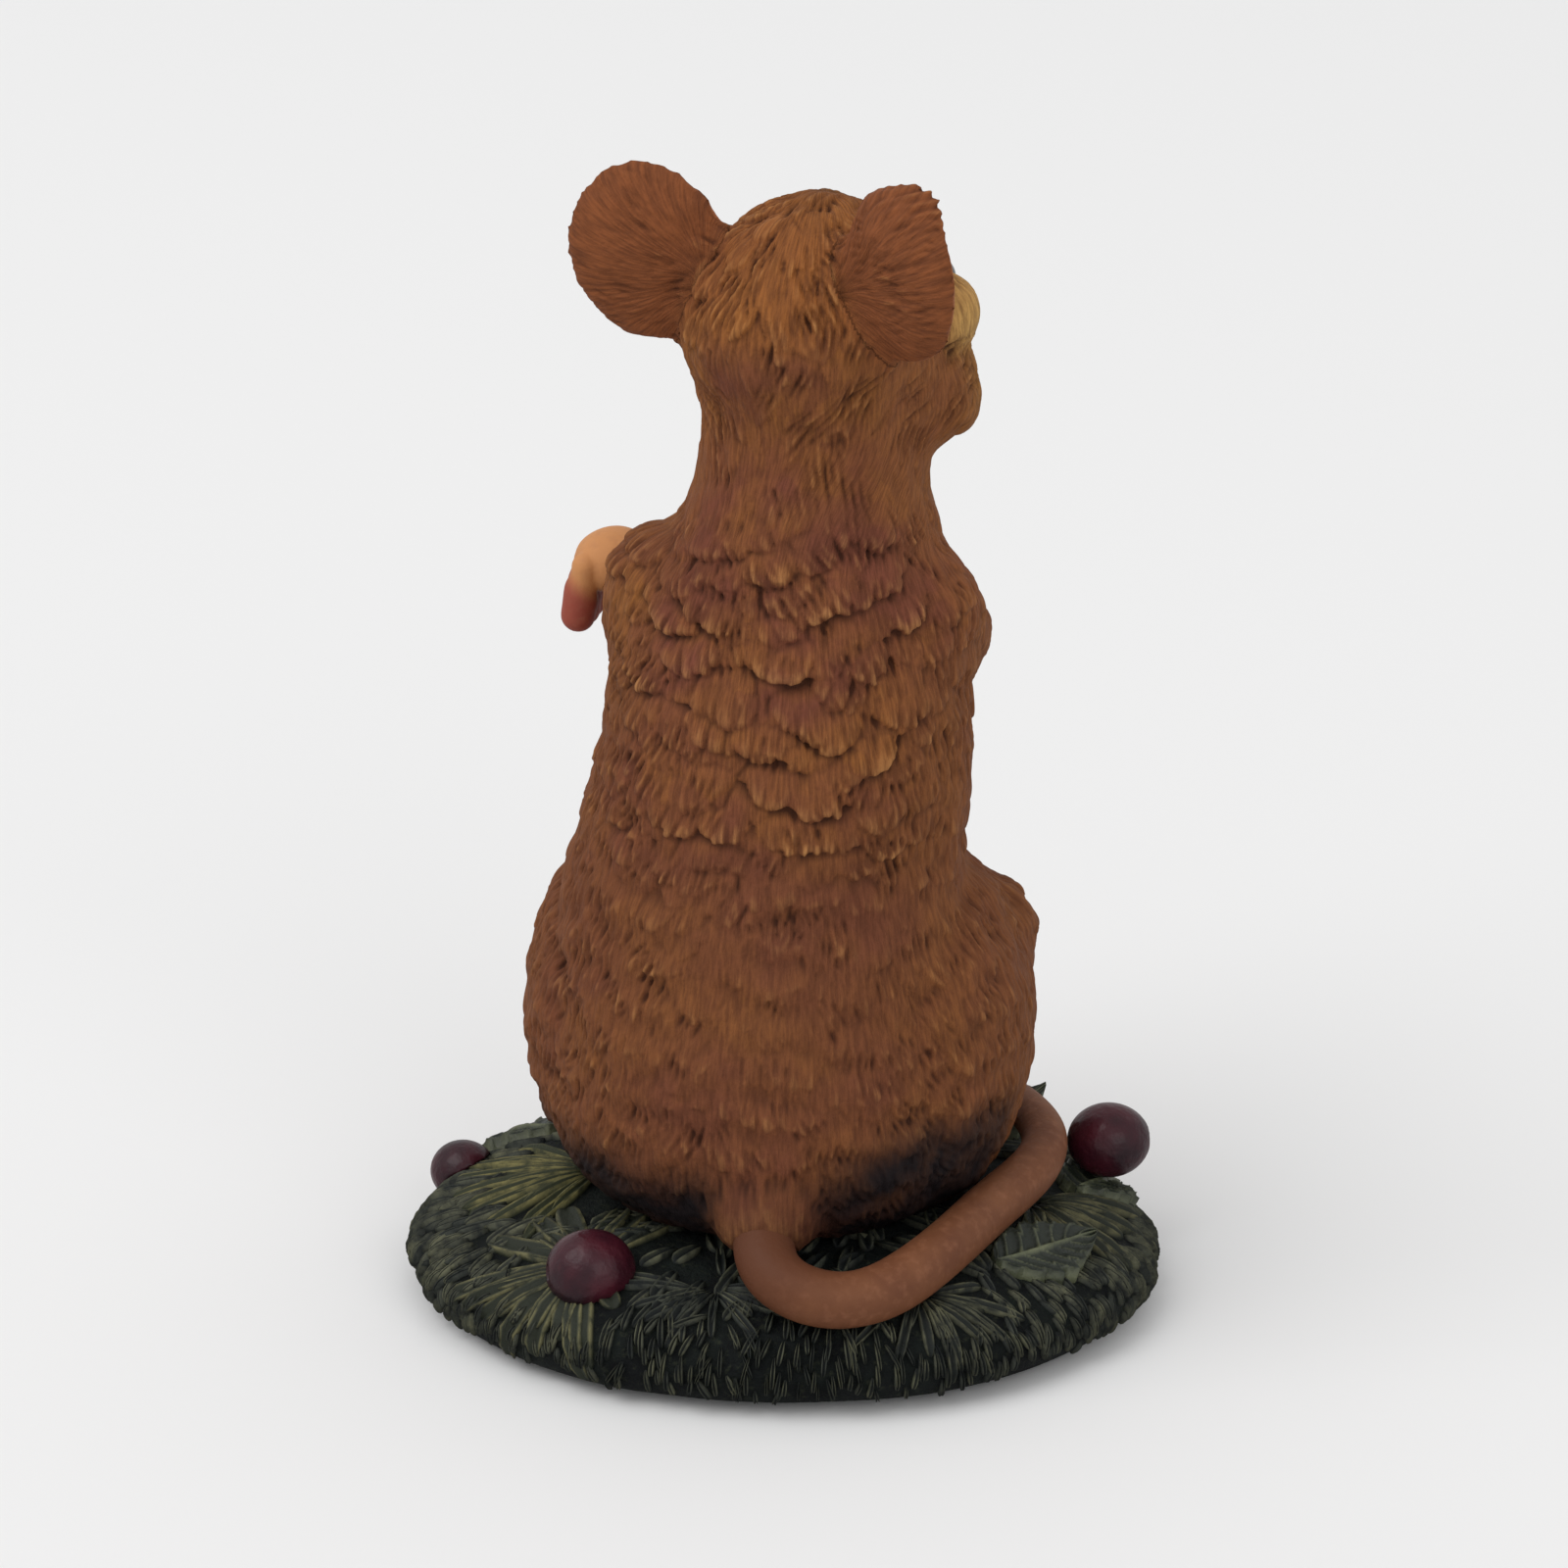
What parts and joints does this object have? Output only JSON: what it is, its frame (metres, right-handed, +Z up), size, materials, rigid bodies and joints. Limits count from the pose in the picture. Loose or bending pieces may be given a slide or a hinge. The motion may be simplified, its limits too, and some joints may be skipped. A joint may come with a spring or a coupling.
{
  "type": "mouse figurine",
  "caption": "Hand-painted resin mouse sitting upright on an oval mound of evergreen needles, leaves and berries, tail curled round one side.",
  "frame": {"origin": "centre of the felt pad's underside, on the table", "axes": "+Z up, +Y the way the mouse faces, +X its right-hand side"},
  "size_m": [0.0484, 0.0383, 0.0751],
  "materials": {
    "fur": "matte",
    "skin": "matte",
    "greenery": "matte",
    "leaf_green": "matte",
    "berry_gloss": "gloss",
    "bead_black": "gloss",
    "nose_paint": "satin",
    "felt": "matte",
    "pin_steel": "satin"
  },
  "bodies": {
    "root": {"felt_pad": "felt", "base_mound": "greenery", "body": "fur", "head": "fur", "ear_left": "fur", "ear_right": "fur", "eye_left": "bead_black", "eye_right": "bead_black", "nose": "nose_paint", "arm_left": "fur", "arm_right": "fur", "paw_left": "skin", "paw_right": "skin", "foot_left": "skin", "foot_right": "skin", "tail": "skin", "neck_pin": "pin_steel", "seat_pins": "pin_steel", "berry_left_rear": "berry_gloss", "berry_left_side": "berry_gloss", "berry_right_side": "berry_gloss", "berry_left_front": "berry_gloss", "berry_centre_front": "berry_gloss", "spray_left_rear": "greenery", "spray_left_side": "greenery", "spray_left_front": "greenery", "spray_right_rear": "greenery", "spray_right_side": "greenery", "spray_front": "greenery", "spray_rear": "greenery", "leaf_right_rear": "leaf_green", "leaf_right_side": "leaf_green", "leaf_left_front": "leaf_green", "leaf_left_side": "leaf_green"}
  },
  "joints": []
}
